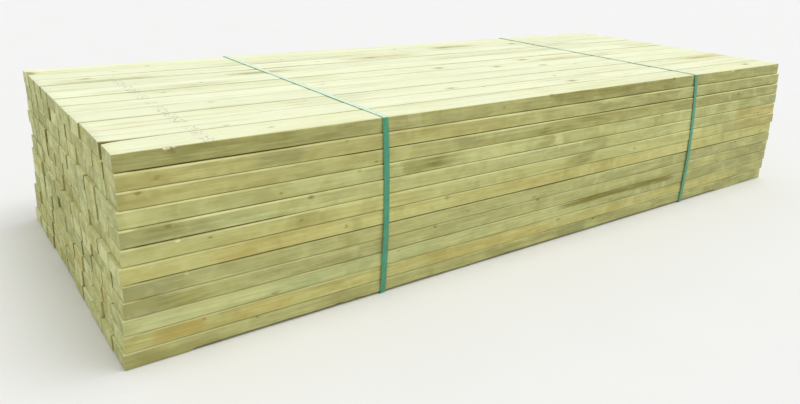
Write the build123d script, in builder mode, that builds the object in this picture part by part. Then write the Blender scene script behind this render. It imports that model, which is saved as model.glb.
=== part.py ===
from build123d import *

import math
import os
import random

# Strapped pack of planed studwork timber: layers of eased-edge studs held by two plastic straps.
# Millimetres, +Z up. X runs along the boards, Y across the pack and Z up through the layers.
# The origin is at the middle of the pack's footprint, on the level that the pack stands on.

# Studs
BOARD_LENGTH = 2400.0
BOARD_WIDTH = 89.0
BOARD_THICKNESS = 38.0
EDGE_RADIUS = 3.0  # eased arrises
LENGTH_SPREAD = 3.0  # how far a board may be cut over or under its length

# Pack
LAYERS = 12
BOARDS_PER_LAYER = 11
SEAM_LEAST = 0.3  # smallest gap between neighbours in a layer
SPARE_LEAST = 4.0  # room that a layer's seams share between them beyond that, at least
SPARE_MOST = 14.0  # and at most
SEAM_UNEVENNESS = 4  # the higher, the fewer seams take most of that room
END_SPREAD = 4.0  # how far a board's left end may stand out of its layer's line
FRONT_END_SPREAD = 1.5  # the same for the front boards, which lie more evenly
LAYER_SPREAD = 2.5  # how far a whole layer may lie out of line along X
LEAN = 12.0  # how much further along X the top layer sits than the bottom one
FOOT_STEP = 6.0  # how far the bottom layer stands out at the left beyond that lean
BULGE = 11.0  # how far the middle layers stand out of the front
FRONT_SPREAD = 0.8  # how far a layer's front may stand off that bulge
PACK_SEED = 20272

# Straps
STRAP_WIDTH = 16.0
STRAP_THICKNESS = 0.9
STRAP_CLEARANCE = 0.3
STRAP_INSET_LEFT = 610.0  # from the pack's left end to the middle of the strap
STRAP_INSET_RIGHT = 540.0
WELD_LENGTH = 70.0  # overlap of a strap's two ends, welded flat on the back of the pack

BOTTOM_Z = STRAP_THICKNESS + STRAP_CLEARANCE
MIDDLE_Z = BOTTOM_Z + LAYERS * BOARD_THICKNESS / 2
SEAMS = BOARDS_PER_LAYER - 1
LAYER_WIDTH = BOARDS_PER_LAYER * BOARD_WIDTH + SEAMS * SEAM_LEAST + (SPARE_LEAST + SPARE_MOST) / 2

# Cuts that turn a square arris into narrow flats round the edge radius, each halving the turns left
ARRIS_CUTS = [EDGE_RADIUS * (math.tan(turn) - math.tan(turn / 2)) for turn in (math.pi / 4, math.pi / 8)]


def layer_z(layer):
    """Height of the middle of a layer above the ground, the lowest layer being 0."""
    return BOTTOM_Z + (layer + 0.5) * BOARD_THICKNESS


def seam_gaps(draw):
    """Gaps between the neighbours of a layer, most of them narrow and a few wide."""
    shares = [draw.random() ** SEAM_UNEVENNESS for _ in range(SEAMS)]
    spare = draw.uniform(SPARE_LEAST, SPARE_MOST)
    return [SEAM_LEAST + spare * share / sum(shares) for share in shares]


def layer_boards(layer, draw):
    """Each board of a layer as its left end, its middle across the pack and its length, front board first."""
    share = (layer + 0.5) / LAYERS
    left = LEAN * (share - 0.5) - BOARD_LENGTH / 2 + draw.uniform(-LAYER_SPREAD, LAYER_SPREAD)
    if layer == 0:
        left -= FOOT_STEP
    bulge = BULGE * (math.sin(math.pi * share) - 0.5) + draw.uniform(-FRONT_SPREAD, FRONT_SPREAD)
    front = (BOARD_WIDTH - LAYER_WIDTH) / 2 - bulge
    gaps = seam_gaps(draw)
    boards = []
    for column in range(BOARDS_PER_LAYER):
        spread = END_SPREAD if column else FRONT_END_SPREAD
        end = left + draw.uniform(-spread, spread)
        middle = front + column * BOARD_WIDTH + sum(gaps[:column])
        length = BOARD_LENGTH + draw.uniform(-LENGTH_SPREAD, LENGTH_SPREAD)
        boards.append((end, middle, length))
    return boards


def tight_outline(points):
    """Corners of the smallest convex outline round some points, in order round it."""

    def turn(a, b, c):
        return (b[0] - a[0]) * (c[1] - a[1]) - (b[1] - a[1]) * (c[0] - a[0])

    def half(ordered):
        kept = []
        for point in ordered:
            while len(kept) > 1 and turn(kept[-2], kept[-1], point) <= 0:
                kept.pop()
            kept.append(point)
        return kept[:-1]

    ordered = sorted(set(points))
    return half(ordered) + half(ordered[::-1])


os.makedirs("parts", exist_ok=True)
draw = random.Random(PACK_SEED)
pack = [layer_boards(layer, draw) for layer in range(LAYERS)]

# Layers of boards, the lowest first
for layer, boards in enumerate(pack):
    with BuildPart() as board_layer:
        for end, middle, length in boards:
            with BuildSketch(Plane.YZ.offset(end)) as section:
                with Locations((middle, layer_z(layer))):
                    Rectangle(BOARD_WIDTH, BOARD_THICKNESS)
                for cut in ARRIS_CUTS:
                    chamfer(section.vertices(), cut)
            extrude(amount=length)
    name = f"board_layer_{layer + 1:02d}"
    board_layer.part.label = name
    export_step(board_layer.part, f"parts/{name}.step")

# Centres of the outer boards' arrises, which the straps are pulled tight round
to_side = BOARD_WIDTH / 2 - EDGE_RADIUS
to_top = BOARD_THICKNESS / 2 - EDGE_RADIUS
arrises = [
    (y, layer_z(layer) + rise)
    for layer, boards in enumerate(pack)
    for y in (boards[0][1] - to_side, boards[-1][1] + to_side)
    for rise in (-to_top, to_top)
]
outline = tight_outline(arrises)
inside = EDGE_RADIUS + STRAP_CLEARANCE
outside = inside + STRAP_THICKNESS

# Straps, each a closed band whose two ends lie on each other on the back of the pack
strap_places = {
    "strap_left": STRAP_INSET_LEFT - BOARD_LENGTH / 2,
    "strap_right": BOARD_LENGTH / 2 - STRAP_INSET_RIGHT,
}
for name, place in strap_places.items():
    with BuildPart() as strap:
        with BuildSketch(Plane.YZ.offset(place)):
            with BuildLine():
                Polyline(*outline, close=True)
            core = make_face()
            offset(core, amount=outside, kind=Kind.ARC, mode=Mode.ADD)
            offset(core, amount=inside, kind=Kind.ARC, mode=Mode.SUBTRACT)
        extrude(amount=STRAP_WIDTH / 2, both=True)
        with BuildSketch(Plane.YZ.offset(place)):
            with BuildLine():
                Polyline(*outline, close=True)
            core = make_face()
            offset(core, amount=outside + STRAP_THICKNESS, kind=Kind.ARC, mode=Mode.ADD)
            offset(core, amount=inside, kind=Kind.ARC, mode=Mode.SUBTRACT)
            with Locations((0, MIDDLE_Z)):
                Rectangle(LAYER_WIDTH, WELD_LENGTH, align=(Align.MIN, Align.CENTER), mode=Mode.INTERSECT)
        extrude(amount=STRAP_WIDTH / 2, both=True)
    strap.part.label = name
    export_step(strap.part, f"parts/{name}.step")
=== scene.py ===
import math
import random

import bpy
import numpy as np
from mathutils import Matrix, Vector


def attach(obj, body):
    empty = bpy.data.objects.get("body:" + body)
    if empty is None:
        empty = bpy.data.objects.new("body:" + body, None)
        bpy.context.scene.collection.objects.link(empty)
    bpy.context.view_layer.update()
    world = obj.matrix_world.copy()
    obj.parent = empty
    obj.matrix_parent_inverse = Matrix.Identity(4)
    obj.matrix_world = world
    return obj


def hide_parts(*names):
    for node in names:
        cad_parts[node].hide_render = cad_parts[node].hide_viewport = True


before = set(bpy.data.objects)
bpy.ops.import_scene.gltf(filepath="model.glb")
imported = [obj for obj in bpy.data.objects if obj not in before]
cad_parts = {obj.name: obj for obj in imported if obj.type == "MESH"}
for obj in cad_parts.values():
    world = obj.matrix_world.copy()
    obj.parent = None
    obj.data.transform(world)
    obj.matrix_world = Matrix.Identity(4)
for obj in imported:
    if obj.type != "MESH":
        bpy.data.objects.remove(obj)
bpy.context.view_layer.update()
scene = bpy.context.scene

# Metres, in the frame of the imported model: X along the boards, -Y the front of the pack, +Z up.
# Layers are numbered from the bottom and columns from the front, both from 1.
BOARD_WIDTH = 0.089
ARRIS = 0.003
SEAM_SLACK = 0.0001  # less than the smallest seam, so that it parts neighbours
LAYERS = 12
COLUMNS = 11
SEED = 7

# Spacing of the stations along a board, by how well it is seen
FRONT_STEP = 0.008
TOP_STEP = 0.016
OTHER_STEP = 0.030
HIDDEN_STATIONS = 6
FINE_STEP = 0.002  # beside damage
END_ZONE = (0.020, 0.040)  # from an end, where what shows fades into what is hidden
END_EASE = 0.0006  # depth of the eased edge of a sawn end
END_INSET = 0.0005
END_TILT = 0.0014  # how far out of square a sawn end may be
FLUSH_INSET = 0.0015  # where left ends would lie flush, from the mean of their layer
FLUSH_SHARE = 0.65  # how much of the way there those that stand out are trimmed

# Section of a board. Each corner's arc leads from a face to the next one, in this order.
FRONT, BOTTOM, BACK, TOP = range(4)
CORNERS = ((-1, -1, 180), (1, -1, 270), (1, 1, 0), (-1, 1, 90))  # signs of Y and Z, and where the arc starts
LOWER_FRONT, UPPER_FRONT = 0, 3
FRONT_ARRISES = (0.7, 1.0, 1.0, 1.3)  # of front boards, times the usual arris
BACK_ARRISES = (1.0, 1.5, 1.3, 1.0)
TOP_FRONT_ARRIS = 0.7  # of the top front board's upper arris
ARRIS_UNEVEN = 0.22
ARRIS_WAVE = 0.5
OUTWARD = ((0, -1, 0), (0, 0, -1), (0, 1, 0), (0, 0, 1))
ARC_STEPS = 4
FACE_POINTS = (0.03, 0.26, 0.5, 0.74, 0.97)
CORNER_POINTS = ARC_STEPS + 1 + len(FACE_POINTS)
UPPER_FRONT_END = UPPER_FRONT * CORNER_POINTS + ARC_STEPS  # where that arris meets the front face
UPPER_BACK_END = BACK * CORNER_POINTS  # where the upper back arris meets the back face
LOWER_BACK_END = BOTTOM * CORNER_POINTS + ARC_STEPS  # where the lower back arris meets it

# How far faces stay inside the solid boards: least depth, what waves add to it, and the longest wave
FRONT_CUT = (0.0002, 0.0005, 1.9)
BACK_CUT = (0.0002, 0.0003, 1.9)
TOP_CUT = (0.0001, 0.0002, 1.6)
CUT_WAVES = 3
TOP_SINKS = 0.0010  # at most, of boards in the top layer
CUPPING = 0.0007  # at most
SETBACK_SOFT = 0.3
GAP_SOFT = 0.12
RAGGED = 0.25  # how uneven damage is
CHIP_WAVE = 0.05
LONG_DAMAGE = 0.2  # from this length on, damage is a worn edge
LONG_WAVE = 0.4

# Straps
STRAP_WIDTH = 0.016
STRAP_THICKNESS = 0.0009
STRAP_GAP = 0.0003
STRAP_STEP = 0.006
STRAP_BEND = math.radians(12)
STRAP_SWAY = 0.0006  # how far a strap strays from a straight line
SWAY_WAVE = 9  # radians a metre along the strap
SWAY_PHASE = 40  # radians a metre along the pack, so that the straps differ
STRAP_CROWN = 0.4  # how much thinner its edges are than its middle
CROWN_POWER = 3
STRAP_OUTER = np.linspace(-1, 1, 9)
STRAP_INNER = np.array([0.97, 0.5, -0.5, -0.97])
STRAP_SHADE = (-1.0, -0.65)  # where the painted shade along its left edge ends on top; that edge keeps more of the strap's own colour
STRAP_EDGE_FADES = 0.4  # how much of the fading and painted sheen that edge still shows
FADE_AND_SHEEN = (0.2, 0.9)  # how far up it faces where its fading and painted sheen start, and where they are full
BACK_FACING = 0.9  # how far backwards it faces on the back, at least
EMBOSSING = 2 * math.pi / 0.0036  # radians a metre, of the two sets of ribs that cross
WELD_LENGTH = 0.070
WELD_STATIONS = 57
WELD_PITCH = 0.005
WELD_CRIMP = 0.0003

# Colours that the treatment and the weather give the wood, as channels of the wash on each board
AMBER, SAGE, GREY, BROWN, PALE = range(5)
TOP_WASH = 0.3  # mean in the top layer
OTHER_WASH = 0.15
WASH_SPREAD = 0.2
END_GREY = 0.4  # on hidden faces near the ends, greying the sides that show in the steps between boards
# How pale the top faces of the top layer are: paled by the sun, and a painted highlight of the light from
# above
TOP_BLEACH_AND_HIGHLIGHT = (0.86, 1)
# Mean and spread of each on sawn ends
CUT_WASH = ((0.15, 0.60), (0.40, 0.60), (0.25, 0.60), (0.05, 0.40), (-0.1, 0.45))

# Wash over the whole of each front board, all but pale, layer 1 first
FRONT_WASH = (
    (0.12, 0.1, 0.5, 0.08),
    (0.32, 0, 0.16, 0.03),
    (0, 0.6, 0.1, 0),
    (0.05, 0.15, 0.42, 0.03),
    (0.05, 0.35, 0.4, 0),
    (0.22, 0, 0.06, 0),
    (0.12, 0.1, 0.05, 0),
    (0, 0.45, 0.22, 0),
    (0.05, 0.35, 0.12, 0),
    (0.12, 0.15, 0.4, 0.03),
    (0.14, 0.12, 0.36, 0.05),
    (0.05, 0.1, 0.62, 0.15),
)

# Patches
PATCH_SLANT = 0.05  # how far along X the ends of a patch may lean
PATCH_SOFT = 0.3  # share of a face over which a patch fades across it

# On front boards: layer, from and to along X, from and to up the face, wash, strength, soft ends
FRONT_PATCHES = (
    (12, -1.2, -0.62, 0, 1, BROWN, 0.16, 0.2, 0.15),
    (12, -1.08, -1.04, 0.2, 0.9, GREY, 0.45, 0.02, 0.03),
    (12, 0, 0.62, 0.5, 1, BROWN, 0.44, 0.03, 0.12),
    (12, 0.28, 0.34, 0, 0.6, GREY, 0.5, 0.02, 0.02),
    (12, 0.2, 0.5, 0, 0.25, BROWN, 0.32, 0.05, 0.1),
    (11, -1.2, -0.35, 0, 1, AMBER, 0.38, 0.05, 0.35),
    (11, -0.87, -0.82, 0.3, 0.7, GREY, 0.72, 0.06, 0.03),
    (11, 0.18, 0.62, 0, 1, GREY, 0.3, 0.1, 0.1),
    (10, -1.2, -0.95, 0, 1, AMBER, 0.5, 0.03, 0.25),
    (10, -0.35, -0.29, 0.4, 1, GREY, 0.6, 0.03, 0.03),
    (10, -0.29, -0.05, 0, 0.45, BROWN, 0.35, 0.03, 0.05),
    (10, -0.05, 0.13, 0, 0.9, BROWN, 0.38, 0.03, 0.15),
    (10, 0.13, 0.62, 0.5, 1, BROWN, 0.34, 0.1, 0.05),
    (9, -0.539, -0.45, 0.05, 0.9, BROWN, 0.46, 0.003, 0.07),
    (9, -0.45, -0.36, 0.3, 0.9, BROWN, 0.35, 0.03, 0.05),
    (9, -0.06, -0.015, 0, 0.9, BROWN, 0.35, 0.03, 0.004),
    (9, 0.82, 0.86, 0.2, 0.9, BROWN, 0.35, 0.03, 0.03),
    (8, -1.2, -1.04, 0, 1, GREY, 0.48, 0.02, 0.08),
    (8, -1.13, -1.08, 0.4, 1, BROWN, 0.55, 0.03, 0.02),
    (8, -0.03, 0.19, 0.1, 0.9, GREY, 0.15, 0.05, 0.05),
    (8, 0.95, 1.2, 0.2, 1, AMBER, 0.7, 0.004, 0.05),
    (7, -0.84, -0.8, 0.1, 0.8, BROWN, 0.3, 0.02, 0.03),
    (7, 0.06, 0.13, 0.1, 1, BROWN, 0.6, 0.05, 0.04),
    (7, 0.94, 1.2, 0.2, 1, AMBER, 0.75, 0.01, 0.05),
    (6, -0.99, -0.8, 0.1, 0.9, AMBER, 0.34, 0.06, 0.1),
    (6, -0.22, 0.45, 0.4, 1, AMBER, 0.26, 0.1, 0.15),
    (5, -1.21, -1.1, 0, 1, GREY, 0.75, 0.01, 0.06),
    (5, -0.7, -0.56, 0.1, 0.9, AMBER, 0.3, 0.06, 0.06),
    (4, -1.12, -1.05, 0.1, 0.7, BROWN, 0.42, 0.03, 0.04),
    (4, -1.21, -1.13, 0, 1, GREY, 0.75, 0.01, 0.06),
    (4, -0.9, -0.6, 0, 0.6, GREY, 0.32, 0.1, 0.1),
    # A dark band along the seam between layers 3 and 4
    (3, 0.1, 0.58, 0.75, 1, BROWN, 1.3, 0.08, 0.06),
    (3, 0.9, 1.2, 0.1, 1, GREY, 0.55, 0.1, 0.02),
    (2, -1.13, -1.06, 0.2, 0.9, AMBER, 0.8, 0.03, 0.03),
    (2, -0.96, -0.86, 0.1, 0.9, AMBER, 0.45, 0.05, 0.05),
    (1, -1.21, -1.02, 0, 0.4, BROWN, 0.45, 0.01, 0.08),
    (2, -1.2, -1.1, 0, 1, BROWN, 0.12, 0.01, 0.06),
    (2, -0.4, -0.1, 0, 1, AMBER, 0.35, 0.1, 0.1),
    (1, -0.72, -0.63, 0, 0.9, BROWN, 0.15, 0.03, 0.03),
    (1, -0.22, -0.14, 0, 1, BROWN, 0.35, 0.03, 0.03),
    (1, 0.05, 0.15, 0.2, 1, GREY, 0.45, 0.02, 0.02),
    # Painted shadow beside the chips in the upper arris
    (12, -1.083, -1.075, 0.72, 0.85, BROWN, 0.6, 0.003, 0.006),
    (11, 0.7, 1.25, 0, 1, GREY, 0.3, 0.1, 0.05),
    (10, 0.6, 1.25, 0, 1, GREY, 0.45, 0.15, 0.05),
    (9, 0.98, 1.25, 0, 1, GREY, 0.5, 0.06, 0.05),
    (7, 0.85, 1.25, 0, 1, GREY, 0.45, 0.1, 0.05),
    (5, 0.2, 1.25, 0, 1, GREY, 0.18, 0.2, 0.05),
    (4, 1, 1.25, 0, 1, GREY, 0.6, 0.08, 0.05),
    (3, 0.3, 0.8, 0, 1, GREY, 0.48, 0.15, 0.1),
    # A dark band along the seam between layers 3 and 4
    (4, 0.2, 0.6, 0, 0.1, BROWN, 0.5, 0.08, 0.06),
    (2, 1, 1.25, 0, 1, GREY, 0.5, 0.08, 0.05),
    (1, 0.25, 1.25, 0, 1, GREY, 0.2, 0.15, 0.05),
    (12, -1.05, -0.85, 0, 1, BROWN, 0.26, 0.08, 0.08),
    (9, -0.01, 0.012, 0, 1, PALE, 0.38, 0.004, 0.015),
    (9, 0.27, 0.36, 0, 1, PALE, 0.18, 0.006, 0.1),
    (9, -0.33, -0.28, 0, 1, PALE, 0.15, 0.006, 0.06),
    (6, 0.45, 0.6, 0, 1, PALE, 0.15, 0.05, 0.1),
    (11, 0.62, 0.7, 0.1, 1, PALE, 0.15, 0.04, 0.05),
    (3, -1.15, -0.92, 0.2, 1, PALE, 0.2, 0.06, 0.06),
    (1, -1.12, -0.82, 0.3, 1, PALE, 0.06, 0.06, 0.1),
)

# On top boards: column, from and to along X, from and to across the board, wash, strength, soft ends
TOP_PATCHES = (
    (8, -0.65, -0.58, 0.3, 0.5, AMBER, 0.9, 0.1, 0.12),
    (9, -0.2, -0.06, 0.4, 0.6, AMBER, 0.85, 0.12, 0.18),
    (10, 0.22, 0.3, 0.4, 0.65, AMBER, 0.75, 0.08, 0.16),
    (7, 1.06, 1.2, 0.4, 0.6, BROWN, 0.55, 0.12, 0.02),
    (6, -0.12, 0.05, 0.1, 0.6, GREY, 0.4, 0.05, 0.08),
    (4, -0.62, -0.3, 0, 0.5, GREY, 0.25, 0.1, 0.1),
    (3, 1.02, 1.2, 0.45, 0.75, AMBER, 0.6, 0.16, 0.02),
    (2, 0.1, 0.3, 0.3, 0.8, BROWN, 0.25, 0.05, 0.08),
    (9, -1.1, -0.95, 0, 0.3, BROWN, 0.6, 0.1, 0.1),
    (7, -1.05, -0.8, 0, 0.3, BROWN, 0.45, 0.1, 0.15),
    (6, -0.95, -0.55, 0.6, 1, BROWN, 0.4, 0.15, 0.15),
    (5, -1.15, -0.85, 0, 1, GREY, 0.4, 0.1, 0.15),
    (4, -1.1, -0.75, 0.2, 1, GREY, 0.35, 0.1, 0.15),
    (3, -0.7, -0.55, 0.2, 0.8, BROWN, 0.3, 0.06, 0.1),
    (10, -0.6, -0.2, 0, 0.4, BROWN, 0.3, 0.15, 0.15),
    (8, 0.1, 0.6, 0, 0.3, BROWN, 0.4, 0.15, 0.15),
    (6, 0.45, 0.75, 0, 0.3, BROWN, 0.5, 0.1, 0.1),
    (9, 0.66, 0.78, 0.4, 0.6, BROWN, 0.45, 0.12, 0.14),
)

# On back boards
BACK_WASH_STEP = 5  # they take the front boards' washes, this many layers apart
BACK_PATCHES = 5  # on each
BACK_KINDS = (AMBER, GREY, GREY, BROWN, PALE)
BACK_PLACES = ((-1.2, 1.1), (0.04, 0.35), (0, 0.5), (0.4, 0.8))  # start and length along X, and up the face
BACK_STRENGTHS = ((0.15, 0.45), (0.02, 0.12), (0.02, 0.12))  # and soft ends

# Knots on front boards: layer, place along X, place up the face from 0 to 1, radius
FRONT_KNOTS = (
    (11, -1.117, 0.45, 0.0032),
    (10, -1.154, 0.8, 0.003),
    (12, -0.029, 0.95, 0.0038),
    (12, 0.541, 0.95, 0.003),
    (9, -0.86, 0.35, 0.0026),
    (8, -0.79, 0.8, 0.003),
    (8, -1.105, 0.75, 0.0036),
    (7, -0.815, 0.5, 0.0032),
    (6, -0.4, 0.85, 0.0028),
    (5, -0.08, 0.2, 0.0028),
    (4, -0.06, 0.85, 0.0028),
    (3, -0.88, 0.15, 0.0028),
    (10, 0.935, 0.55, 0.0032),
)

# Knots on top boards: column, place along X, place across the board, radius
TOP_KNOTS = (
    (9, -0.153, 0.5, 0.0085),
    (10, 0.237, 0.5, 0.0085),
    (5, 0.139, 0.7, 0.007),
    (6, 0.327, 0.5, 0.008),
    (5, 0.316, 0.2, 0.006),
    (6, -0.061, 0.4, 0.0065),
    (10, 0.587, 0.3, 0.007),
    (1, 1.053, 0.6, 0.007),
    (2, 0.183, 0.3, 0.006),
    (3, -0.234, 0.2, 0.006),
    (9, -1.074, 0.6, 0.006),
    (11, -1.188, 0.3, 0.006),
)

# Other knots, at random
KNOT_RADII = (0.0014, 0.0030)
KNOT_SPACING = 0.12
KNOT_FIRST = (0.1, 1.0)  # from the left end
KNOT_STEPS = (0.5, 1.4)  # from one to the next on the same face
KNOT_LAST = 0.05  # from the right end, at least
KNOT_ACROSS = (0.05, 0.95)
KNOT_TONES = (0.5, 1)
PITH_Y = (0.01, 0.06)  # the pith's distance from the middle of a board, to the front or back
PITH_Z = (-0.06, 0.03)  # and up
GRAIN_SHIFT = 40  # at most, so that no two boards have the same grain
BRANCH_SLANT = (0.2, 1.6)  # how far branches lean from square

# Gaps over front boards that dried thinner: layer of the lower board, from and to along X, depth
FRONT_GAPS = (
    (11, -1.3, -0.85, 0.0012),
    (10, -0.65, 1.3, 0.0013),
    (7, -1.3, -0.9, 0.0014),
    (5, -1.3, 1.3, 0.0019),
    (3, -1.3, 1.3, 0.0008),
)

# Front boards that lie further back than their solids: layer, from and to along X, depth
SETBACKS = (
    (11, -1.3, -0.7, 0.001),
    (10, -1.3, -0.6, 0.0014),
    (9, -1.3, -0.7, 0.001),
    (8, 0.7, 1.3, 0.0012),
    (6, -1.3, 1.3, 0.002),
    (5, -1.3, 1.3, 0.0033),
    (4, -1.3, 1.3, 0.0022),
    (3, -1.3, 1.3, 0.002),
    (2, -1.3, 1.3, 0.0022),
    (12, 0, 1.3, 0.0014),
    (11, 0.5, 1.3, 0.001),
)

# Damage to arrises of front boards: layer, corner, from and to along X, soft ends, extra reach in Y and in Z
DAMAGE = (
    (12, UPPER_FRONT, -1.1, -1.088, 0.003, 0.0065, 0.0045),
    (12, UPPER_FRONT, -1.082, -1.078, 0.003, 0.0045, 0.0018),
    (12, UPPER_FRONT, 0.886, 0.894, 0.003, 0.006, 0.006),
    (7, UPPER_FRONT, -1.091, -1.084, 0.004, 0.004, 0.0035),
    (5, UPPER_FRONT, -1.076, -1.07, 0.003, 0.0035, 0.0035),
    (1, LOWER_FRONT, -1.062, 0.87, 0.012, 0.018, 0.005),
    (1, LOWER_FRONT, -0.72, -0.705, 0.006, 0.004, 0.003),
    (1, LOWER_FRONT, -0.668, -0.655, 0.006, 0.004, 0.002),
)

# Seams that opened as the boards dried: layer and the column in front of the seam
OPEN_SEAMS = (
    (12, 8), (11, 8), (10, 8), (9, 8), (8, 8), (11, 7), (7, 10), (6, 10), (5, 10),
    (9, 5), (10, 3), (9, 3), (11, 2), (8, 1), (5, 1), (4, 8), (3, 8), (5, 7), (5, 4), (4, 4),
    (2, 6), (1, 6), (4, 3), (5, 9), (1, 8), (2, 8), (1, 4), (7, 5), (6, 6), (8, 6), (3, 5),
)
OPEN_SEAM = 0.0018  # at most, taken off each of the two boards
OPEN_SHARES = (0.6, 1)
END_OPENS = 1.5  # times that near the ends
SHADED_DIRTY_SEAMS = OPEN_SEAMS + ((12, 1), (11, 1), (10, 1), (12, 9), (12, 10))  # dirt and painted shade on their faces up to the ends
TOP_SEAM_CLOSES = 0.0054  # how much nearer to the next one the top front board lies
TOP_SEAM_RANGE = (-1.18, -1.05)  # from its left end to where it does
TOP_SLOT = (0.009, 0.006)  # taken off the boards before and behind the same seam at that end
SLOT_LENGTH = 0.030

# Back boards, from layer 1
BACK_SETBACKS = (0, 0.001, 0, 0.0022, 0, 0.003, 0.0005, 0.0025, 0.003, 0.001, 0, 0.0008)
BACK_GAP = 0.0014  # at most, over back boards that dried thinner

# Wear, and painted highlights on upper arrises and ledges
LEDGE_HIGHLIGHT = (0.25, 0.95)  # painted highlight on top of boards near their ends, below the top layer
ARRIS_SHARES = (0.0, 0.25, 0.5, 0.75, 1.0)  # round an upper arris, from its side to the top
# How pale an upper arris is made round its curve: wear, and a painted highlight where it faces the light
# from above
ARRIS_WEAR_AND_HIGHLIGHT = (0.0, 0.7, 0.8, 0.7, 0.3)
ARC_END_WEAR_AND_HIGHLIGHT = 0.5  # where it meets that side, below the top layer
WEAR_HIGHLIGHT_SHARE = 0.6  # share of that wear and painted highlight, on average
WEAR_HIGHLIGHT_SWING = 0.7
WEAR_HIGHLIGHT_WAVE = 0.9
LEAST_WEAR_HIGHLIGHT = 0.1
ARRIS_BLEND = 0.15  # how softly damage ends on the faces
CHIP_BLEACH_AND_HIGHLIGHT = 0.80  # of chips in the top layer, which take the top's sun-paling and painted highlight
DAMAGE_BROWN = 0.5  # of worn lower arrises

# Dirt, and painted shade in the seams between the boards
END_CLEAN = np.array([0.55, 1.0, 0.55, 1.0])  # share of it missing near the ends, on each face
GRIME_SHADE_POWER = 3.5  # how fast it grows round an arris into a seam
TOP_GRIME_SHADE_POWER = 1.8  # the same on top of the pack
OVERHANG_POWER = 1.4  # the same round lower front arrises that overhang the board below, as painted shade under the overhang
OVERHANGING = (2, 3, 4, 5)  # their layers
BACK_GRIME_SHADE_POWER = 0.9  # the same round the lower arrises of back boards, as painted shade at the seams
BACK_GRIME_AND_SHADE = 0.40  # painted shade and dirt where those arrises meet the back faces, and below the upper back arrises, under the board above

# Print across the top boards
PRINT_AT = 1.008  # left of the middle
PRINT_HALF = 0.016

# What the timber's material reads besides the washes, by kind and by domain
BOARD_ATTRIBUTES = (
    ("FLOAT_VECTOR", "POINT", ("section", "grain")),
    ("FLOAT", "POINT", ("bleach_and_highlight", "wear_and_highlight", "grime_and_shade", "sawn")),
    ("FLOAT_VECTOR", "FACE", ("knot_at", "knot_along")),
    ("FLOAT", "FACE", ("knot_size", "knot_tone")),
)
ATTRIBUTE_FIELDS = {"FLOAT": "value", "FLOAT_VECTOR": "vector", "FLOAT_COLOR": "color"}


def srgb(red, green, blue):
    """A colour written as 0 to 255 display values, as linear values with alpha."""
    def linear(value):
        value /= 255
        return value / 12.92 if value <= 0.04045 else ((value + 0.055) / 1.055) ** 2.4
    return (linear(red), linear(green), linear(blue), 1.0)


def smooth(values, low, high):
    """Smooth step from 0 at low to 1 at high."""
    share = np.clip((values - low) / (high - low), 0, 1)
    return share * share * (3 - 2 * share)


def window(values, low, high, soft_low, soft_high):
    """1 between low and high, falling off smoothly over the soft lengths outside."""
    return smooth(values, low - soft_low, low) * (1 - smooth(values, high, high + soft_high))


def waves(draw, x, longest, count=4):
    """A smooth random line along x, within about -1 to 1."""
    total = np.zeros_like(x)
    for k in range(count):
        length = longest / (k + 1) * draw.uniform(0.7, 1.3)
        total += draw.uniform(0.5, 1) * np.sin(2 * math.pi * x / length + draw.uniform(0, 7)) / (k + 1)
    return total / 1.6


# Boards

def boards_of(node):
    """Lowest and highest corners of each board of a layer, front board first."""
    points = np.array([v.co for v in node.data.vertices], float)
    boards = []
    while len(points):
        own = points[:, 1] < points[:, 1].min() + BOARD_WIDTH + SEAM_SLACK
        boards.append((points[own].min(0), points[own].max(0)))
        points = points[~own]
    return boards


def ring_faces():
    """How much each point of a section's ring belongs to each of the four faces."""
    shares = []
    for corner in range(4):
        for step in range(CORNER_POINTS):
            share = np.zeros(4)
            share[(corner + 1) % 4] = min(1, step / ARC_STEPS)
            share[corner] = 1 - share[(corner + 1) % 4]
            shares.append(share)
    return np.array(shares)


RING_FACES = ring_faces()
RING = len(RING_FACES)


def section_rings(thickness, reaches):
    """Points of a board's section at each station, for its four arrises' reach in Y and Z."""
    arcs = []
    for (sy, sz, start), (reach_y, reach_z) in zip(CORNERS, reaches):
        arc = []
        for step in range(ARC_STEPS + 1):
            angle = math.radians(start + 90 * step / ARC_STEPS)
            y = sy * (BOARD_WIDTH / 2 - reach_y) + reach_y * math.cos(angle)
            z = sz * (thickness / 2 - reach_z) + reach_z * math.sin(angle)
            arc.append(np.stack([y, z], axis=-1))
        arcs.append(arc)
    ring = []
    for corner, arc in enumerate(arcs):
        first, last = arc[-1], arcs[(corner + 1) % 4][0]
        ring += arc
        ring += [first + (last - first) * share for share in FACE_POINTS]
    return np.stack(ring, axis=1)


def stations(low, high, step, damage):
    """Places along X where a board has a section, closer together beside damage."""
    count = int((high - low) / step) if step else HIDDEN_STATIONS
    inner = [np.linspace(low + END_ZONE[1], high - END_ZONE[1], count)]
    for _, _, start, end, soft, _, _ in damage:
        for edge in (start - soft / 2, end + soft / 2):
            inner.append(np.arange(edge - 2 * soft, edge + 2 * soft, FINE_STEP))
    inner = np.unique(np.concatenate(inner).round(4))
    inner = inner[(inner > low + END_ZONE[0]) & (inner < high - END_ZONE[0])]
    left = [low, low + END_EASE, low + END_ZONE[0]]
    right = [high - END_ZONE[0], high - END_EASE, high]
    return np.concatenate([left, inner, right])


def back_patches(layer):
    """Patches on a back board, of the kinds seen on the front."""
    own = random.Random(layer)
    rows = []
    for _ in range(BACK_PATCHES):
        start, length, low, height = (own.uniform(*span) for span in BACK_PLACES)
        kind = own.choice(BACK_KINDS)
        rest = [own.uniform(*span) for span in BACK_STRENGTHS]
        rows.append((layer, start, start + length, low, low + height, kind, *rest))
    return rows


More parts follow.
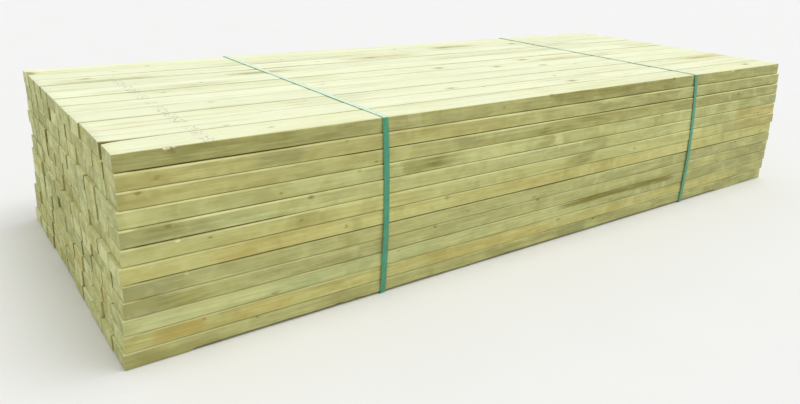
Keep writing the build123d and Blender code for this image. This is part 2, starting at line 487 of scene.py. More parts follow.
class Board:
    """One board of the pack: its mesh, and what its material reads."""

    def __init__(self, layer, column, low, high, draw):
        self.layer, self.column, self.low, self.high = layer, column, low, high
        self.place = (layer, column)
        self.middle = (low + high) / 2
        self.exposed = np.array([column == 1, layer == 1, column == COLUMNS, layer == LAYERS])
        self.damage = [row for row in DAMAGE if (row[0], 1) == self.place]
        self.pith = np.array([0, draw.choice((-1, 1)) * draw.uniform(*PITH_Y), draw.uniform(*PITH_Z)])
        self.shift = np.array([draw.uniform(-GRAIN_SHIFT, GRAIN_SHIFT), 0, 0])
        self.shape(draw)
        self.colour(draw)
        self.place_knots(draw)

    def step(self):
        """Spacing of its stations, or 0 where it is hidden."""
        if self.column == 1:
            return FRONT_STEP
        if self.layer == LAYERS:
            return TOP_STEP
        return OTHER_STEP if self.exposed.any() else 0

    def near_end(self, x):
        """1 at the ends, falling off to 0 over their zones."""
        return 1 - smooth(np.minimum(x - self.low[0], self.high[0] - x), *END_ZONE)

    def shape(self, draw):
        """The board's skin and its two sawn ends."""
        thickness = self.high[2] - self.low[2]
        x = stations(self.low[0], self.high[0], self.step(), self.damage)
        sizes = {1: FRONT_ARRISES, COLUMNS: BACK_ARRISES}.get(self.column, (1, 1, 1, 1))
        if self.place == (LAYERS, 1):
            sizes = sizes[:UPPER_FRONT] + (TOP_FRONT_ARRIS,)
        reaches = [[ARRIS * size * (1 + ARRIS_UNEVEN * waves(draw, x, ARRIS_WAVE))] * 2 for size in sizes]
        for _, corner, start, end, soft, reach_y, reach_z in self.damage:
            ragged = 1 + RAGGED * waves(draw, x, CHIP_WAVE if end - start < LONG_DAMAGE else LONG_WAVE)
            torn = window(x, start, end, soft, soft) * ragged
            reaches[corner] = [reaches[corner][0] + reach_y * torn, reaches[corner][1] + reach_z * torn]
        rings = section_rings(thickness, reaches)
        flat = rings.copy()
        share_y = rings[:, :, 0] / BOARD_WIDTH + 0.5
        share_z = rings[:, :, 1] / thickness + 0.5
        front_cut, back_cut, top_cut = self.cuts(x, draw)
        rings[:, :, 0] += front_cut[:, None] * (1 - share_y) - back_cut[:, None] * share_y
        cup = draw.uniform(0, CUPPING) * (2 * share_y - 1) ** 2
        rings[:, :, 1] -= (top_cut[:, None] + cup) * share_z
        for end in (0, -1):
            rings[end] *= 1 - 2 * END_INSET / np.array([BOARD_WIDTH, thickness])
        sides = np.empty((len(x), RING, 3))
        sides[:, :, 0] = x[:, None]
        for first, last, sign in ((0, 1, 1), (-1, -2, -1)):
            tilt = draw.uniform(0, END_TILT) * share_y[first]
            tilt = tilt + draw.uniform(0, END_TILT) * (1 - share_z[first])
            sides[first, :, 0] += sign * tilt
            sides[last, :, 0] += sign * tilt
        sides[:, :, 1:] = rings + self.middle[1:]
        still = np.empty_like(sides)
        still[:, :, 0] = x[:, None]
        still[:, :, 1:] = flat + self.middle[1:]
        self.vertices, self.still = (
            np.concatenate([part.reshape(-1, 3), part[0], part[-1], part[[0, -1]].mean(axis=1)])
            for part in (sides, still)
        )
        self.skin = len(x) * RING
        self.grain = self.still - self.middle - self.pith + self.shift
        self.section = (self.still - self.middle) / ((self.high - self.low) / 2)
        self.sawn = (np.arange(len(self.vertices)) >= self.skin).astype(float)
        self.faces_of = np.zeros((len(self.vertices), 4))
        self.faces_of[:self.skin] = np.tile(RING_FACES, (len(x), 1))
        starts = np.arange(len(x) - 1)[:, None] * RING
        here = np.arange(RING)[None, :]
        after = (here + 1) % RING
        ends = starts + RING
        quads = np.stack([starts + after, ends + after, ends + here, starts + here], axis=-1)
        self.quads = quads.reshape(-1, 4)
        here, after = here.ravel(), after.ravel()
        centre = np.full(RING, self.skin + 2 * RING)
        left = np.stack([centre, self.skin + after, self.skin + here], axis=-1)
        right = np.stack([centre + 1, self.skin + RING + here, self.skin + RING + after], axis=-1)
        self.caps = np.concatenate([left, right])

    def cuts(self, x, draw):
        """How far the front, back and top faces stay inside the solid board, along x."""
        front, back, top = (
            least + more * (1 + waves(draw, x, longest, CUT_WAVES))
            for least, more, longest in (FRONT_CUT, BACK_CUT, TOP_CUT)
        )
        if self.layer == LAYERS:
            top = top + draw.uniform(0, TOP_SINKS)
        slot = 1 - smooth(x, self.low[0], self.low[0] + SLOT_LENGTH)
        if self.place == (LAYERS, 1):
            back = back + TOP_SLOT[0] * slot - TOP_SEAM_CLOSES * smooth(x, *TOP_SEAM_RANGE)
        if self.place == (LAYERS, 2):
            front = front + TOP_SLOT[1] * slot
        opens = OPEN_SEAM * (1 + (END_OPENS - 1) * self.near_end(x))
        if self.place in OPEN_SEAMS:
            back = back + opens * draw.uniform(*OPEN_SHARES)
        if (self.layer, self.column - 1) in OPEN_SEAMS:
            front = front + opens * draw.uniform(*OPEN_SHARES)
        if self.column == 1:
            for layer, start, end, depth in SETBACKS:
                if layer == self.layer:
                    front = front + depth * window(x, start, end, SETBACK_SOFT, SETBACK_SOFT)
            for layer, start, end, depth in FRONT_GAPS:
                if layer == self.layer:
                    top = top + depth * window(x, start, end, GAP_SOFT, GAP_SOFT)
        if self.column == COLUMNS:
            back = back + BACK_SETBACKS[self.layer - 1]
            top = top + random.Random(self.layer).uniform(0, BACK_GAP) * (self.layer < LAYERS)
        return front, back, top

    def colour(self, draw):
        """Washes, wear and painted highlights on edges, sun-paling and a painted highlight on top, and dirt
        with painted shade, at each vertex.
        """
        across = (self.still - self.low) / (self.high - self.low)
        x = self.still[:, 0]
        own = random.Random(self.layer * COLUMNS + self.column)
        mean = TOP_WASH if self.layer == LAYERS else OTHER_WASH
        wash = np.array([max(0, draw.gauss(mean, WASH_SPREAD)) for _ in range(BROWN)] + [0.0, 0.0])
        patches = []
        if self.layer == LAYERS:
            patches += [(row, TOP, 1, draw) for row in TOP_PATCHES if row[0] == self.column]
        if self.column == 1:
            wash = np.append(FRONT_WASH[self.layer - 1], 0)
            patches += [(row, FRONT, 2, draw) for row in FRONT_PATCHES if row[0] == self.layer]
        if self.column == COLUMNS:
            wash = np.append(FRONT_WASH[BACK_WASH_STEP * self.layer % LAYERS], 0)
            patches += [(row, BACK, 2, own) for row in back_patches(self.layer)]
        self.wash = np.tile(wash, (len(x), 1))
        for (_, start, end, low, high, kind, strength, *soft), face, axis, source in patches:
            slanted = x + source.uniform(-PATCH_SLANT, PATCH_SLANT) * (across[:, axis] - 0.5)
            spread = window(slanted, start, end, *soft)
            spread = spread * window(across[:, axis], low, high, PATCH_SOFT, PATCH_SOFT)
            self.wash[:, kind] += strength * spread * smooth(self.faces_of[:, face], 0, 0.5)
        for end in (0, 1):
            cap = np.append(self.skin + end * RING + np.arange(RING), self.skin + 2 * RING + end)
            self.wash[cap] = [max(0, draw.gauss(*spread)) for spread in CUT_WASH]

        near_end = self.near_end(x)
        top, front, back = (self.faces_of[:, face] for face in (TOP, FRONT, BACK))
        # Top of the pack: paled by the sun, and a painted highlight
        self.bleach_and_highlight = top * (self.layer == LAYERS) * draw.uniform(*TOP_BLEACH_AND_HIGHLIGHT)
        # Painted highlight on the ledges that boards make near their ends
        ledge = random.Random(self.layer * COLUMNS + self.column).uniform(*LEDGE_HIGHLIGHT)
        self.wear_and_highlight = ledge * top * near_end * (self.layer < LAYERS)
        # Upper arrises of front and back boards: pale wear and a painted highlight
        upper = {1: (front, UPPER_FRONT_END, draw), COLUMNS: (back, UPPER_BACK_END, own)}
        if self.column in upper:
            side, arc_end, source = upper[self.column]
            arris = np.interp(top, ARRIS_SHARES, ARRIS_WEAR_AND_HIGHLIGHT) * (top + side > 0.99)
            arris[arc_end:self.skin:RING] = ARC_END_WEAR_AND_HIGHLIGHT * (self.layer < LAYERS)
            wear_highlight_share = WEAR_HIGHLIGHT_SHARE + WEAR_HIGHLIGHT_SWING * waves(source, x, WEAR_HIGHLIGHT_WAVE)
            wear_highlight_share = np.maximum(wear_highlight_share, near_end).clip(LEAST_WEAR_HIGHLIGHT, 1)
            self.wear_and_highlight = np.maximum(self.wear_and_highlight, arris * wear_highlight_share)
        for layer, corner, start, end, soft, _, _ in self.damage:
            torn = window(x, start, end, soft, soft)
            high = torn * smooth(top * front, 0, ARRIS_BLEND) * (corner == UPPER_FRONT)
            if layer == LAYERS:
                self.bleach_and_highlight = np.maximum(self.bleach_and_highlight, CHIP_BLEACH_AND_HIGHLIGHT * high)
                self.wear_and_highlight = self.wear_and_highlight * (1 - high)
            else:
                self.wear_and_highlight = np.maximum(self.wear_and_highlight, high)
            low = torn * smooth(front * self.faces_of[:, BOTTOM], 0, ARRIS_BLEND)
            self.wash[:, BROWN] += DAMAGE_BROWN * low * (corner == LOWER_FRONT)
        self.wear_and_highlight = np.maximum(self.wear_and_highlight, self.wash[:, PALE])
        hidden = self.faces_of * ~self.exposed
        shut = np.ones(4)
        # In these seams the dirt and painted shade reach the ends
        shut[BACK] = self.place not in SHADED_DIRTY_SEAMS
        shut[FRONT] = (self.layer, self.column - 1) not in SHADED_DIRTY_SEAMS
        swept = (hidden * shut * END_CLEAN).sum(axis=1) * near_end
        power = np.full(len(x), GRIME_SHADE_POWER)
        # Painted shade under lower front arrises that overhang the board below
        if self.layer in OVERHANGING:
            power[self.faces_of[:, BOTTOM] > 0] = OVERHANG_POWER
        if self.column == COLUMNS:
            power[self.faces_of[:, BOTTOM] > 0] = BACK_GRIME_SHADE_POWER
        if self.layer == LAYERS:
            power[self.faces_of[:, TOP] > 0] = TOP_GRIME_SHADE_POWER
        # Dirt and painted shade: darker round each arris into the seams between boards, less near the ends
        self.grime_and_shade = hidden.sum(axis=1).clip(0, 1) ** power * (1 - swept)
        # Painted shade and dirt along the seams of the back boards
        if self.column == COLUMNS:
            for point in (LOWER_BACK_END, LOWER_BACK_END + 1):
                self.grime_and_shade[point:self.skin:RING] = BACK_GRIME_AND_SHADE
            self.grime_and_shade[UPPER_BACK_END:self.skin:RING] = BACK_GRIME_AND_SHADE * (self.layer < LAYERS)
        self.wash[:, GREY] += END_GREY * (hidden[:, FRONT] + hidden[:, BACK]) * near_end

    def place_knots(self, draw):
        """Each face takes the knot that it is nearest to. Branches lead out from the board's pith."""
        knots = []
        for rows, face, number in ((FRONT_KNOTS, FRONT, self.layer), (TOP_KNOTS, TOP, self.column)):
            knots += [
                (self.on_face(face, x, share), OUTWARD[face], radius)
                for row, x, share, radius in rows
                if self.exposed[face] and row == number
            ]
        for face in np.flatnonzero(self.exposed):
            x = self.low[0] + draw.uniform(*KNOT_FIRST)
            while x < self.high[0] - KNOT_LAST:
                spot = self.on_face(face, x, draw.uniform(*KNOT_ACROSS))
                if all(np.linalg.norm(spot - other) > KNOT_SPACING for other, _, _ in knots):
                    knots.append((spot, OUTWARD[face], draw.uniform(*KNOT_RADII)))
                x += draw.uniform(*KNOT_STEPS)
        count = len(self.quads) + len(self.caps)
        self.knot_at = np.zeros((count, 3))
        self.knot_along = np.tile([0.0, 0.0, 1.0], (count, 1))
        self.knot_size = np.zeros(count)
        self.knot_tone = np.zeros(count)
        if not knots:
            return
        spots, outward, sizes = (np.array(part, float) for part in zip(*knots))
        radial = spots - (self.middle + self.pith)
        radial[:, 0] = 0
        slant = np.array([[draw.uniform(*BRANCH_SLANT)] for _ in knots])
        along = outward + slant * radial / np.linalg.norm(radial, axis=1)[:, None]
        along /= np.linalg.norm(along, axis=1)[:, None]
        centres = self.vertices[self.quads].mean(axis=1)
        away = np.linalg.norm(centres[:, None] - spots[None], axis=2) - 2 * sizes
        nearest = away.argmin(axis=1)
        quads = slice(0, len(self.quads))
        self.knot_at[quads] = spots[nearest]
        self.knot_along[quads] = along[nearest]
        self.knot_size[quads] = sizes[nearest]
        self.knot_tone[quads] = np.array([draw.uniform(*KNOT_TONES) for _ in knots])[nearest]

    def on_face(self, face, x, share):
        """A place on a face of the board, share of the way across it."""
        spot = self.low + (self.high - self.low) * share
        axis = 1 if face in (FRONT, BACK) else 2
        spot[axis] = (self.low if face in (FRONT, BOTTOM) else self.high)[axis]
        spot[0] = x
        return spot


def add_attribute(mesh, name, kind, values, domain="POINT"):
    """Stores an array on a mesh for its material to read."""
    attribute = mesh.attributes.new(name, kind, domain)
    attribute.data.foreach_set(ATTRIBUTE_FIELDS[kind], np.asarray(values, np.float32).ravel())


def make_piece(name, vertices, faces):
    """A smooth-shaded object of that mesh, in the scene."""
    mesh = bpy.data.meshes.new(name)
    mesh.from_pydata(vertices.tolist(), [], faces)
    mesh.polygons.foreach_set("use_smooth", [True] * len(mesh.polygons))
    piece = bpy.data.objects.new(name, mesh)
    scene.collection.objects.link(piece)
    return piece


def make_layer(number, node, draw):
    """The boards of one layer as one piece."""
    boxes = boards_of(node)
    flush = np.mean([low[0] for low, _ in boxes]) + FLUSH_INSET
    for low, _ in boxes[1:]:
        low[0] += FLUSH_SHARE * max(0, flush - low[0])
    boards = [Board(number, k + 1, low, high, draw) for k, (low, high) in enumerate(boxes)]
    starts = np.cumsum([0] + [len(board.vertices) for board in boards])
    faces = []
    for board, start in zip(boards, starts):
        faces += (board.quads + start).tolist() + (board.caps + start).tolist()
    vertices = np.concatenate([board.vertices for board in boards])
    piece = make_piece(f"timber_layer_{number:02d}", vertices, faces)
    for kind, domain, names in BOARD_ATTRIBUTES:
        for name in names:
            values = np.concatenate([getattr(board, name) for board in boards])
            add_attribute(piece.data, name, kind, values, domain)
    wash = np.concatenate([board.wash for board in boards])
    add_attribute(piece.data, "wash", "FLOAT_COLOR", np.c_[wash[:, :BROWN], np.ones(len(wash))])
    add_attribute(piece.data, "brown", "FLOAT", wash[:, BROWN])
    return piece


# Straps

def outline_of(points):
    """Convex outline of points in the YZ plane, counter-clockwise seen with Y to the right."""
    points = sorted(map(tuple, points))
    sides = []
    for line in (points, points[::-1]):
        side = []
        for p in line:
            while len(side) > 1 and np.cross(np.subtract(side[-1], side[-2]), np.subtract(p, side[-1])) <= 0:
                side.pop()
            side.append(p)
        sides += side[:-1]
    return np.array(sides)


def strap_line(boards):
    """Places and outward directions round the pack, starting at the weld on its back."""
    centres = []
    for low, high in boards:
        for y in (low[1] + ARRIS, high[1] - ARRIS):
            centres += [(y, low[2] + ARRIS), (y, high[2] - ARRIS)]
    corners = outline_of(np.round(centres, 7))
    edges = np.roll(corners, -1, axis=0) - corners
    normals = np.stack([edges[:, 1], -edges[:, 0]], axis=1) / np.linalg.norm(edges, axis=1)[:, None]
    places, outward = [], []
    for k, corner in enumerate(corners):
        count = max(1, int(np.linalg.norm(edges[k]) / STRAP_STEP))
        places += [corner + edges[k] * step / count for step in range(count + 1)]
        outward += [normals[k]] * (count + 1)
        start = math.atan2(normals[k][1], normals[k][0])
        after = normals[(k + 1) % len(corners)]
        turn = (math.atan2(after[1], after[0]) - start) % (2 * math.pi)
        bends = int(turn / STRAP_BEND)
        for step in range(1, bends + 1):
            angle = start + turn * step / (bends + 1)
            places.append(corners[(k + 1) % len(corners)])
            outward.append(np.array([math.cos(angle), math.sin(angle)]))
    places, outward = np.array(places), np.array(outward)
    weld = np.argmin(np.abs(places[:, 1] - places[:, 1].mean()) - outward[:, 0])
    return np.roll(places, -weld, axis=0), np.roll(outward, -weld, axis=0)


def band(x, places, outward, lift, closed):
    """A strip of strap over a line: vertices, faces, and each vertex's place on it and its share of fading
    and painted sheen.
    """
    across = np.concatenate([STRAP_OUTER, STRAP_INNER])
    crown = 1 - STRAP_CROWN * np.abs(STRAP_OUTER) ** CROWN_POWER
    height = np.concatenate([crown, np.zeros(len(STRAP_INNER))])
    line = places + outward * (ARRIS + STRAP_GAP + lift)[:, None]
    steps = np.linalg.norm(np.diff(line, axis=0), axis=1)
    along = np.concatenate([[0], np.cumsum(steps)])
    sway = STRAP_SWAY * np.sin(along * SWAY_WAVE + x * SWAY_PHASE)
    vertices = np.empty((len(line), len(across), 3))
    vertices[:, :, 0] = x + sway[:, None] + across * STRAP_WIDTH / 2
    vertices[:, :, 1:] = line[:, None] + outward[:, None] * (height * STRAP_THICKNESS)[None, :, None]
    weave = np.zeros_like(vertices)
    weave[:, :, 0] = along[:, None]
    weave[:, :, 1] = across * STRAP_WIDTH / 2
    ring = len(across)
    faces = []
    for s in range(len(line) if closed else len(line) - 1):
        for p in range(ring):
            here, after = s * ring, (s + 1) % len(line) * ring
            faces.append([here + p, after + p, after + (p + 1) % ring, here + (p + 1) % ring])
    if not closed:
        last = (len(line) - 1) * ring
        faces += [list(range(ring)), list(range(last + ring - 1, last - 1, -1))]
    # Painted shade along the left edge on top, away from the sun
    shade = smooth(across, *STRAP_SHADE)
    shade = STRAP_EDGE_FADES + (1 - STRAP_EDGE_FADES) * shade
    fade_and_sheen = smooth(outward[:, 1], *FADE_AND_SHEEN)[:, None] * shade
    return vertices.reshape(-1, 3), faces, weave.reshape(-1, 3), fade_and_sheen.ravel()


def make_strap(name, x, boards):
    """One strap pulled tight round the pack, with its two ends welded over each other on the back."""
    places, outward = strap_line(boards)
    loop = band(x, places, outward, np.zeros(len(places)), True)
    middle = places[0, 1]
    rise = np.linspace(-WELD_LENGTH / 2, WELD_LENGTH / 2, WELD_STATIONS)
    back = np.stack([np.interp(middle + rise, *sorted_back(places, outward)), middle + rise], axis=1)
    flat = np.tile([1.0, 0.0], (WELD_STATIONS, 1))
    crimp = WELD_CRIMP * (np.abs(rise) < WELD_LENGTH / 4) * (1 + np.cos(rise * 2 * math.pi / WELD_PITCH)) / 2
    tail = band(x, back, flat, STRAP_THICKNESS - crimp, False)
    base = len(loop[0])
    faces = loop[1] + [[i + base for i in face] for face in tail[1]]
    vertices, weave, fade_and_sheen = (np.concatenate([loop[k], tail[k]]) for k in (0, 2, 3))
    piece = make_piece(name, vertices, faces)
    add_attribute(piece.data, "weave", "FLOAT_VECTOR", weave)
    add_attribute(piece.data, "fade_and_sheen", "FLOAT", fade_and_sheen)
    return piece


def sorted_back(places, outward):
    """Heights and Y of the strap's line up the back of the pack, lowest first."""
    back = places[outward[:, 0] > BACK_FACING]
    order = np.argsort(back[:, 1])
    return back[order, 1], back[order, 0]


# Materials

class Nodes:
    """A node tree, with short calls for the nodes that are used here."""

    def __init__(self, tree):
        self.tree = tree

    def node(self, kind, inputs=(), **settings):
        made = self.tree.nodes.new(kind)
        for key, value in settings.items():
            setattr(made, key, value)
        for socket, value in dict(inputs).items():
            self.put(made.inputs[socket], value)
        return made

    def put(self, socket, value):
        if isinstance(value, bpy.types.NodeSocket):
            self.tree.links.new(value, socket)
        else:
            socket.default_value = value

    def attribute(self, name, output="Fac"):
        return self.node("ShaderNodeAttribute", attribute_name=name).outputs[output]

    def math(self, operation, *values, clamp=False):
        made = self.node("ShaderNodeMath", dict(enumerate(values)), operation=operation, use_clamp=clamp)
        return made.outputs[0]

    def times(self, product, *factors):
        for factor in factors:
            product = self.math("MULTIPLY", product, factor)
        return product

    def vector(self, operation, *values):
        made = self.node("ShaderNodeVectorMath", dict(enumerate(values)), operation=operation)
        return made.outputs["Value" if operation in ("LENGTH", "DOT_PRODUCT") else "Vector"]

    def parts(self, vector):
        return self.node("ShaderNodeSeparateXYZ", {"Vector": vector}).outputs

    def noise(self, vector, stretch, detail=2.0, roughness=0.5, output="Fac"):
        place = self.vector("MULTIPLY", vector, stretch)
        inputs = {"Vector": place, "Scale": 1.0, "Detail": detail, "Roughness": roughness}
        return self.node("ShaderNodeTexNoise", inputs).outputs[output]

    def range(self, value, low, high, to_low=0.0, to_high=1.0, kind="LINEAR"):
        inputs = {"Value": value, "From Min": low, "From Max": high, "To Min": to_low, "To Max": to_high}
        return self.node("ShaderNodeMapRange", inputs, interpolation_type=kind).outputs["Result"]

    def mix(self, share, first, second):
        return self.node("ShaderNodeMix", {0: share, 6: first, 7: second}, data_type="RGBA").outputs[2]

    def tint(self, before, value, low, high, share, *colour):
        return self.mix(self.range(value, low, high, 0, share), before, srgb(*colour))

    def bump(self, height, strength, distance):
        inputs = {"Height": height, "Strength": strength, "Distance": distance}
        return self.node("ShaderNodeBump", inputs).outputs["Normal"]


def new_material(name):
    """A material, its node tree, and its shader's inputs."""
    material = bpy.data.materials.new(name)
    material.use_nodes = True
    return material, Nodes(material.node_tree), material.node_tree.nodes["Principled BSDF"].inputs


def timber_material():
    """Planed softwood with a green treatment: growth rings, streaks, washes, knots and sawn ends."""
    material, n, shader = new_material("treated_timber")
    place = n.node("ShaderNodeTexCoord").outputs["Object"]
    grain = n.attribute("grain", "Vector")
    wash = n.node("ShaderNodeSeparateColor", {"Color": n.attribute("wash", "Color")}).outputs
    sawn = n.attribute("sawn")
    bleach_and_highlight = n.attribute("bleach_and_highlight")

    # Knots: distance from the branch's axis, in radii of the knot
    swirl = n.vector("SUBTRACT", n.noise(place, (60, 90, 90), 2.0, output="Color"), (0.5, 0.5, 0.5))
    offset = n.vector("SUBTRACT", place, n.attribute("knot_at", "Vector"))
    offset = n.vector("ADD", offset, n.vector("MULTIPLY", swirl, (0.010, 0.005, 0.005)))
    axis = n.attribute("knot_along", "Vector")
    along = n.vector("MULTIPLY", axis, n.vector("DOT_PRODUCT", offset, axis))
    from_axis = n.vector("SUBTRACT", offset, along)
    size = n.math("MAXIMUM", n.attribute("knot_size"), 0.00001)
    radial = n.math("DIVIDE", n.vector("LENGTH", n.vector("MULTIPLY", from_axis, (0.55, 1, 1))), size)
    tone = n.attribute("knot_tone")
    stretched = n.vector("LENGTH", n.vector("MULTIPLY", from_axis, (0.3, 1, 1)))
    near = n.range(n.math("DIVIDE", n.vector("LENGTH", offset), size), 7.0, 3.0, kind="SMOOTHSTEP")
    halo = n.times(n.range(n.math("DIVIDE", stretched, size), 2.6, 0.4, kind="SMOOTHSTEP"), near)
    core = n.times(n.range(radial, 1.4, 0.3, kind="SMOOTHSTEP"), near, tone)
    rim = n.times(n.range(radial, 1.6, 1.05, kind="SMOOTHSTEP"), n.range(radial, 0.6, 1.0), near, tone)

    # Growth rings about a pith that wanders along the board, bent round the knots
    wander = n.noise(grain, (1.3, 5, 5), 1.0, output="Color")
    wander = n.vector("MULTIPLY", n.vector("SUBTRACT", wander, (0.5, 0.5, 0.5)), (0, 0.026, 0.026))
    across = n.vector("LENGTH", n.vector("MULTIPLY", n.vector("ADD", grain, wander), (0, 1, 1)))
    across = n.math("ADD", across, n.times(halo, 0.004))
    ring = n.math("FRACT", n.times(across, 230.0))
    late = n.times(n.range(ring, 0.35, 0.85), n.range(ring, 1.0, 0.93))
    years = n.node("ShaderNodeCombineXYZ", {"X": n.times(n.parts(grain)[0], 0.01), "Y": across})
    years = n.noise(years.outputs["Vector"], (1, 110, 1), 2.0)

    # Streaks along the grain and blotches of the treatment
    fibres = n.noise(grain, (7, 300, 300), 2.0, 0.6)
    streaks = n.noise(grain, (2.4, 90, 90), 3.0, 0.6)
    dashes = n.noise(grain, (9, 140, 140), 3.0, 0.65)
    blotch = n.noise(grain, (11, 30, 30), 3.0, 0.65)
    cloud = n.noise(grain, (2.6, 9, 9), 2.0, 0.6)
    mottle = n.noise(grain, (15, 8, 12), 2.0, 0.55)
    uneven = n.times(n.range(blotch, 0.3, 0.7, 0.35, 1.45), n.range(dashes, 0.3, 0.7, 0.6, 1.4))

    def washed(weight, swing, low, high):
        drift = n.range(swing, 0.3, 0.7, low, high)
        return n.math("ADD", n.times(weight, uneven), drift, clamp=True)

    colour = n.mix(washed(wash[SAGE], cloud, -0.1, 0.4), srgb(222, 221, 144), srgb(195, 206, 146))
    colour = n.mix(washed(wash[AMBER], streaks, -0.15, 0.2), colour, srgb(211, 189, 104))
    colour = n.mix(washed(wash[GREY], streaks, -0.12, 0.2), colour, srgb(166, 168, 116))
    colour = n.tint(colour, blotch, 0.5, 0.75, 0.5, 182, 176, 100)
    colour = n.tint(colour, dashes, 0.55, 0.75, 0.45, 166, 160, 92)
    colour = n.tint(colour, years, 0.45, 0.75, 0.4, 190, 184, 108)
    colour = n.mix(n.times(late, 0.24), colour, srgb(168, 158, 86))
    colour = n.tint(colour, fibres, 0.48, 0.8, 0.16, 158, 156, 84)
    colour = n.tint(colour, mottle, 0.56, 0.70, 0.40, 164, 160, 90)
    colour = n.tint(colour, mottle, 0.43, 0.32, 0.32, 226, 225, 158)
    brown = n.math("MULTIPLY", n.attribute("brown"), n.range(dashes, 0.35, 0.65, 0.45, 1.15), clamp=True)
    colour = n.mix(brown, colour, srgb(140, 133, 62))

    # Top of the pack paled by the sun and by a painted highlight, with streaks that stayed darker; edges
    # with wear and painted highlights; dirt and painted shade between the boards
    kept = n.math("ADD", n.range(cloud, 0.3, 0.7, 0.0, 0.10), n.range(streaks, 0.52, 0.72, 0, 0.42))
    stained = n.range(wash[AMBER], 0.4, 1.2, 0, 0.55)
    stained = n.math("ADD", n.times(n.attribute("brown"), 0.5), stained)
    stained = n.times(stained, n.range(streaks, 0.35, 0.65, 0.4, 1.5))
    kept = n.math("ADD", kept, stained, clamp=True)
    pale = n.mix(kept, srgb(250, 255, 221), colour)
    pale = n.tint(pale, dashes, 0.58, 0.76, 0.60, 194, 200, 144)
    # Sun-paling and painted highlight on top
    colour = n.mix(bleach_and_highlight, colour, pale)
    # Pale wear on chips and edges, and painted highlights on upper arrises and ledges
    wear_and_highlight = n.math("MULTIPLY", n.attribute("wear_and_highlight"), n.range(dashes, 0.3, 0.7, 1.2, 0.7), clamp=True)
    colour = n.mix(wear_and_highlight, colour, srgb(243, 242, 178))
    # Dirt and painted shade in the seams between the boards
    grime_and_shade = n.times(n.attribute("grime_and_shade"), n.range(blotch, 0.3, 0.7, 0.45, 0.85))
    colour = n.mix(grime_and_shade, colour, srgb(122, 112, 38))

    colour = n.mix(n.times(halo, 0.28), colour, srgb(180, 164, 84))
    colour = n.mix(n.times(core, 0.7), colour, srgb(122, 112, 50))
    colour = n.mix(n.times(rim, 0.3), colour, srgb(96, 88, 42))

    # Row of faded, unreadable print across the top of the pack
    beside = n.math("ABSOLUTE", n.math("ADD", n.parts(place)[0], PRINT_AT))
    marks = n.times(
        n.range(n.noise(place, (150, 85, 0), 1.0), 0.5, 0.6),
        n.range(n.noise(place, (0, 22, 0), 0.0), 0.42, 0.5),
        n.range(beside, PRINT_HALF, PRINT_HALF * 0.8),
        n.range(n.parts(place)[1], 0.32, 0.25, 0, 0.35),
        bleach_and_highlight,
    )
    colour = n.mix(marks, colour, srgb(112, 106, 122))

    # Sawn ends: rings stand out, the cut is rough and blotchy, and torn fibres show along its upper edge
    saw = n.noise(place, (0, 60, 900), 1.0)
    rough = n.noise(grain, (3, 30, 30), 3.0, 0.55)
    cut = n.mix(n.times(late, 0.4), n.mix(0.25, colour, srgb(230, 240, 176)), srgb(158, 156, 76))
    cut = n.tint(cut, rough, 0.50, 0.72, 0.52, 146, 150, 74)
    cut = n.tint(cut, rough, 0.50, 0.28, 0.52, 236, 247, 192)
    cut = n.tint(cut, saw, 0.5, 0.8, 0.25, 146, 150, 76)
    height = n.parts(n.attribute("section", "Vector"))[2]
    torn = n.math("ADD", height, n.range(n.noise(place, (9, 30, 9), 3.0, 0.7), 0.3, 0.7, -0.8, 0.25))
    cut = n.tint(cut, torn, 0.72, 1.0, 0.75, 238, 240, 184)
    colour = n.mix(sawn, colour, cut)

    n.put(shader["Base Color"], colour)
    n.put(shader["Roughness"], n.range(fibres, 0.2, 0.8, 0.58, 0.82))
    n.put(shader["Specular IOR Level"], 0.25)
    relief = n.mix(sawn, n.math("ADD", fibres, n.times(late, 0.3)), n.math("ADD", saw, rough))
    n.put(shader["Normal"], n.bump(relief, 0.15, 0.0006))
    return material


def strap_material():
    """Glossy embossed plastic, paler where it lies on top of the pack from fading and a painted sheen, with
    painted shade along its left edge there.
    """
    material, n, shader = new_material("strap_green")
    weave = n.attribute("weave", "Vector")
    cloud = n.noise(weave, (30, 200, 1), 2.0, 0.6)
    scuffs = n.noise(weave, (14, 900, 1), 2.0, 0.6)
    colour = n.mix(n.range(cloud, 0.3, 0.7), srgb(46, 140, 100), srgb(64, 158, 116))
    # Paler where it faces up: fading from the sun, and a painted sheen of the bright sky
    colour = n.mix(n.times(n.attribute("fade_and_sheen"), 0.95), colour, srgb(218, 248, 212))
    colour = n.tint(colour, scuffs, 0.55, 0.8, 0.3, 128, 200, 172)
    n.put(shader["Base Color"], colour)
    n.put(shader["Roughness"], n.range(cloud, 0.3, 0.7, 0.22, 0.36))
    n.put(shader["Coat Weight"], 0.5)
    n.put(shader["Coat Roughness"], 0.2)
    along, across, _ = n.parts(weave)
    rising = n.math("SINE", n.times(n.math("ADD", along, across), EMBOSSING))
    falling = n.math("SINE", n.times(n.math("SUBTRACT", along, across), EMBOSSING))
    n.put(shader["Normal"], n.bump(n.times(rising, falling), 0.25, 0.0002))
    return material


def floor_material():
    """Pale and plain."""
    material, n, shader = new_material("floor_pale")
    place = n.node("ShaderNodeTexCoord").outputs["Object"]
    colour = n.mix(n.noise(place, (3, 3, 3)), srgb(240, 240, 239), srgb(243, 243, 243))
    n.put(shader["Base Color"], colour)
    n.put(shader["Roughness"], 0.9)
    return material


# Pieces
draw = random.Random(SEED)
timber = timber_material()
all_boards = []
for number in range(1, LAYERS + 1):
    node_name = f"board_layer_{number:02d}"
    layer = make_layer(number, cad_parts[node_name], draw)
    all_boards += boards_of(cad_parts[node_name])
    layer.data.materials.append(timber)
    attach(layer, "root")
    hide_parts(node_name)

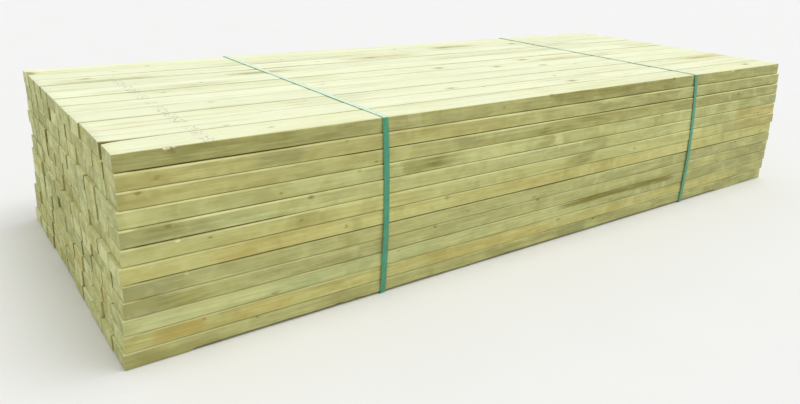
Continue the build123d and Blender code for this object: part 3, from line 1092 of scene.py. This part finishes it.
strap = strap_material()
for side in ("left", "right"):
    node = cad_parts[f"strap_{side}"]
    x = np.mean([v.co.x for v in node.data.vertices])
    piece = make_strap(f"strap_band_{side}", x, all_boards)
    piece.data.materials.append(strap)
    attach(piece, "root")
    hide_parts(f"strap_{side}")

# Stage
FLOOR_HALF = 60.0
floor_corners = np.array([(-1, -1, 0), (1, -1, 0), (1, 1, 0), (-1, 1, 0)]) * FLOOR_HALF
floor = make_piece("floor", floor_corners, [[0, 1, 2, 3]])
floor.data.materials.append(floor_material())

# Plain light, and what the camera, reflections and transmission see of it
WHITE = (1.0, 1.0, 1.0, 1.0)
LIGHT_STRENGTH = 0.57
SEEN_STRENGTH = 0.92
world = bpy.data.worlds.new("studio")
scene.world = world
world.use_nodes = True
studio = Nodes(world.node_tree)
rays = studio.node("ShaderNodeLightPath").outputs
direct = studio.math("MAXIMUM", rays["Is Camera Ray"], rays["Is Glossy Ray"])
direct = studio.math("MAXIMUM", direct, rays["Is Transmission Ray"])
light = world.node_tree.nodes["Background"]
seen = studio.node("ShaderNodeBackground")
for background, strength in ((light, LIGHT_STRENGTH), (seen, SEEN_STRENGTH)):
    background.inputs["Color"].default_value = WHITE
    background.inputs["Strength"].default_value = strength
sky = studio.node("ShaderNodeMixShader", {0: direct, 1: light.outputs[0], 2: seen.outputs[0]})
studio.put(world.node_tree.nodes["World Output"].inputs["Surface"], sky.outputs[0])

SUN_FROM = Vector((0.25, -0.15, 1.0))
SUN_ENERGY = 1.48
SUN_ANGLE = math.radians(40)
sun_data = bpy.data.lights.new("soft_sun", "SUN")
sun_data.energy = SUN_ENERGY
sun_data.angle = SUN_ANGLE
sun = bpy.data.objects.new("soft_sun", sun_data)
sun.rotation_euler = (-SUN_FROM).to_track_quat("-Z", "Y").to_euler()
scene.collection.objects.link(sun)

# Camera, in the place found from the pack's edges in the photo
PHOTO_WIDTH, PHOTO_HEIGHT = 800, 404
SENSOR_WIDTH = 36.0  # millimetres
VIEW_LENGTH = 200.0
FOCAL_PX = 720.4
PRINCIPAL_PX = (442.8, 148.6)
CAMERA_AT = (-1.496, -1.8740, 0.8592)
FORWARD = Vector((0.5919, 0.7571, -0.2766)).normalized()
RIGHT = Vector((0.7937, -0.6072, 0.0366))
camera_data = bpy.data.cameras.new("camera")
camera_data.sensor_fit = "HORIZONTAL"
camera_data.sensor_width = SENSOR_WIDTH
camera_data.lens = FOCAL_PX / PHOTO_WIDTH * SENSOR_WIDTH
camera_data.shift_x = (PHOTO_WIDTH / 2 - PRINCIPAL_PX[0]) / PHOTO_WIDTH
camera_data.shift_y = (PRINCIPAL_PX[1] - PHOTO_HEIGHT / 2) / PHOTO_WIDTH
camera_data.clip_end = VIEW_LENGTH
up = RIGHT.cross(FORWARD).normalized()
across = FORWARD.cross(up).normalized()
camera = bpy.data.objects.new("camera", camera_data)
turn = Matrix((across, up, -FORWARD)).transposed().to_4x4()
camera.matrix_world = Matrix.Translation(CAMERA_AT) @ turn
scene.collection.objects.link(camera)
scene.camera = camera

scene.view_settings.view_transform = "Standard"
